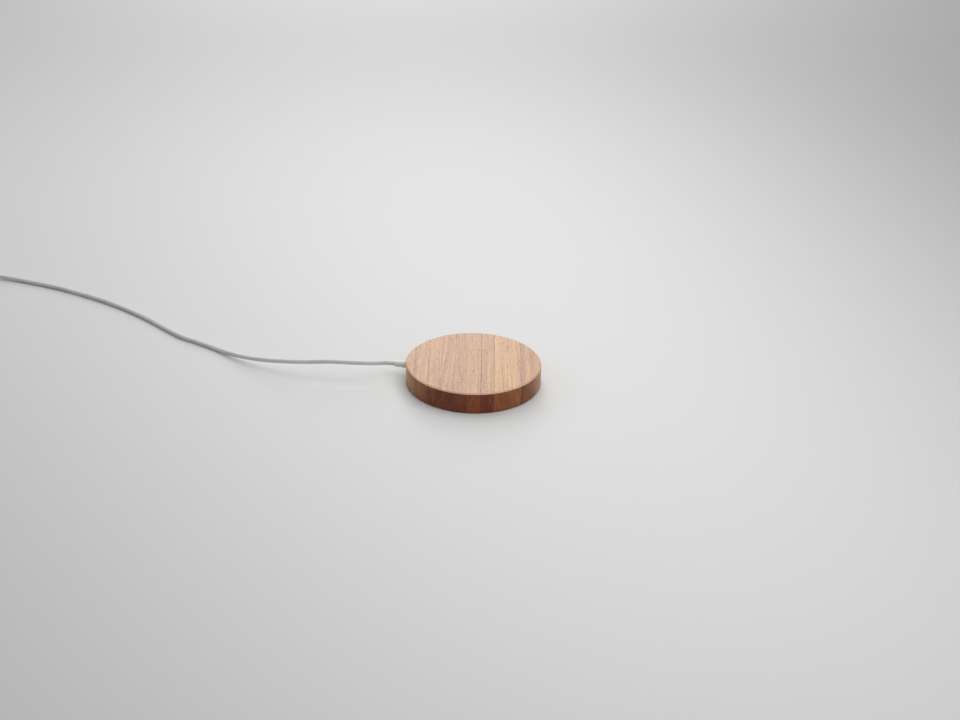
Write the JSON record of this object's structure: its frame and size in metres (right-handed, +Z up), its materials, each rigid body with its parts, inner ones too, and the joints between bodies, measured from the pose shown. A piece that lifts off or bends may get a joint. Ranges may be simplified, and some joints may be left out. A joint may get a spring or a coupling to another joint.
{
  "type": "wireless charging pad",
  "caption": "Small round wooden wireless charging pad with a flat top, a plastic base with rubber feet, and a thin captive lead that ends in a plug.",
  "frame": {"origin": "centre of the pad's footprint on the table, at the height of the feet's undersides", "axes": "+Z up through the charging face; the lead leaves the case along -X; the wood's grain runs close to Y"},
  "size_m": [0.2978, 0.081, 0.0091],
  "materials": {
    "brown_wood": "fine sanded, thin matt oil",
    "dark_plastic": "fine moulded texture",
    "black_rubber": "matt",
    "white_overmould": "satin soft plastic",
    "pale_jacket": "satin soft plastic",
    "bright_steel": "bright nickel plate",
    "enamelled_copper": "clear enamel",
    "grey_ferrite": "matt sintered",
    "green_board": "satin solder mask",
    "chip_black": "matt moulded",
    "tan_ceramic": "matt",
    "white_sleeve": "woven sleeve",
    "clear_adhesive": "film",
    "led_body": "gloss",
    "frosted_plastic": "frosted",
    "wire_red": "satin",
    "wire_black": "satin",
    "white_insulator": "satin",
    "gold_plating": "bright plate"
  },
  "bodies": {
    "root": {"base_cover": "dark_plastic", "cable_coil": "pale_jacket", "cable_gland": "white_overmould", "cable_run": "pale_jacket", "cable_tail": "pale_jacket", "cable_tie": "black_rubber", "coil_adhesive_pad": "clear_adhesive", "coil_lead_inner": "white_sleeve", "coil_lead_outer": "white_sleeve", "coil_thermistor": "tan_ceramic", "controller_chip": "chip_black", "crystal": "bright_steel", "ferrite_shield": "grey_ferrite", "foot_1": "black_rubber", "foot_2": "black_rubber", "foot_3": "black_rubber", "input_capacitor_1": "tan_ceramic", "input_capacitor_2": "tan_ceramic", "light_pipe": "frosted_plastic", "main_board": "green_board", "plug_body": "pale_jacket", "plug_contact_1": "gold_plating", "plug_contact_2": "gold_plating", "plug_contact_3": "gold_plating", "plug_contact_4": "gold_plating", "plug_shell": "bright_steel", "plug_strain_relief": "pale_jacket", "plug_tongue": "white_insulator", "power_stage_chip": "chip_black", "resonant_capacitor_1": "tan_ceramic", "resonant_capacitor_2": "tan_ceramic", "resonant_capacitor_3": "tan_ceramic", "resonant_capacitor_4": "tan_ceramic", "screw_1": "bright_steel", "screw_2": "bright_steel", "screw_3": "bright_steel", "sense_resistor": "chip_black", "signal_resistor_1": "chip_black", "signal_resistor_2": "chip_black", "signal_resistor_3": "chip_black", "status_led": "led_body", "supply_inductor": "chip_black", "transmit_coil": "enamelled_copper", "voltage_regulator": "chip_black", "wire_black": "wire_black", "wire_red": "wire_red", "wood_case": "brown_wood"}
  },
  "joints": []
}
